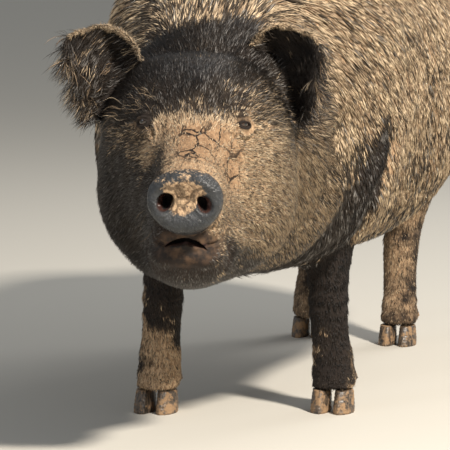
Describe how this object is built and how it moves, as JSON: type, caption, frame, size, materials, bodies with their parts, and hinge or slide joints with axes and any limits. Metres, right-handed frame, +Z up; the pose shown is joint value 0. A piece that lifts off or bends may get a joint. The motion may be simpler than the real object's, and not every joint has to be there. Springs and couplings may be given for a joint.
{
  "type": "pig",
  "caption": "Full-grown domestic pig standing square with its head turned to its left: dark bristly coat caked with dry mud, half-lopped ears, wet round nose and cloven hooves.",
  "frame": {"origin": "on the floor, under the middle of the pig's outline", "axes": "+Z up; the pig faces -Y with its body along Y, its left side towards +X"},
  "size_m": [0.5694, 1.6533, 0.8333],
  "materials": {
    "coat": "black bristles lying flat in clumps over dark skin, caked with dry tan mud on the sides, cheeks and nose bridge",
    "nose": "bare wrinkled skin, dark grey, moist and glossy, with dried mud between the nostrils",
    "horn": "dark horn, worn matte and dusted with mud",
    "eyeball": "wet dark brown eye"
  },
  "bodies": {
    "root": {"head": "coat", "lower_jaw": "coat", "snout": "nose", "ear_left": "coat", "ear_right": "coat", "eye_left": "eyeball", "eye_right": "eyeball", "trunk": "coat", "neck": "coat", "foreleg_left_upper": "coat", "foreleg_left_lower": "coat", "hoof_fore_left_inner": "horn", "dewclaw_fore_left_inner": "horn", "hoof_fore_left_outer": "horn", "dewclaw_fore_left_outer": "horn", "hindleg_left_upper": "coat", "hindleg_left_lower": "coat", "hoof_hind_left_inner": "horn", "dewclaw_hind_left_inner": "horn", "hoof_hind_left_outer": "horn", "dewclaw_hind_left_outer": "horn", "foreleg_right_upper": "coat", "foreleg_right_lower": "coat", "hoof_fore_right_inner": "horn", "dewclaw_fore_right_inner": "horn", "hoof_fore_right_outer": "horn", "dewclaw_fore_right_outer": "horn", "hindleg_right_upper": "coat", "hindleg_right_lower": "coat", "hoof_hind_right_inner": "horn", "dewclaw_hind_right_inner": "horn", "hoof_hind_right_outer": "horn", "dewclaw_hind_right_outer": "horn", "tail": "coat"}
  },
  "joints": []
}
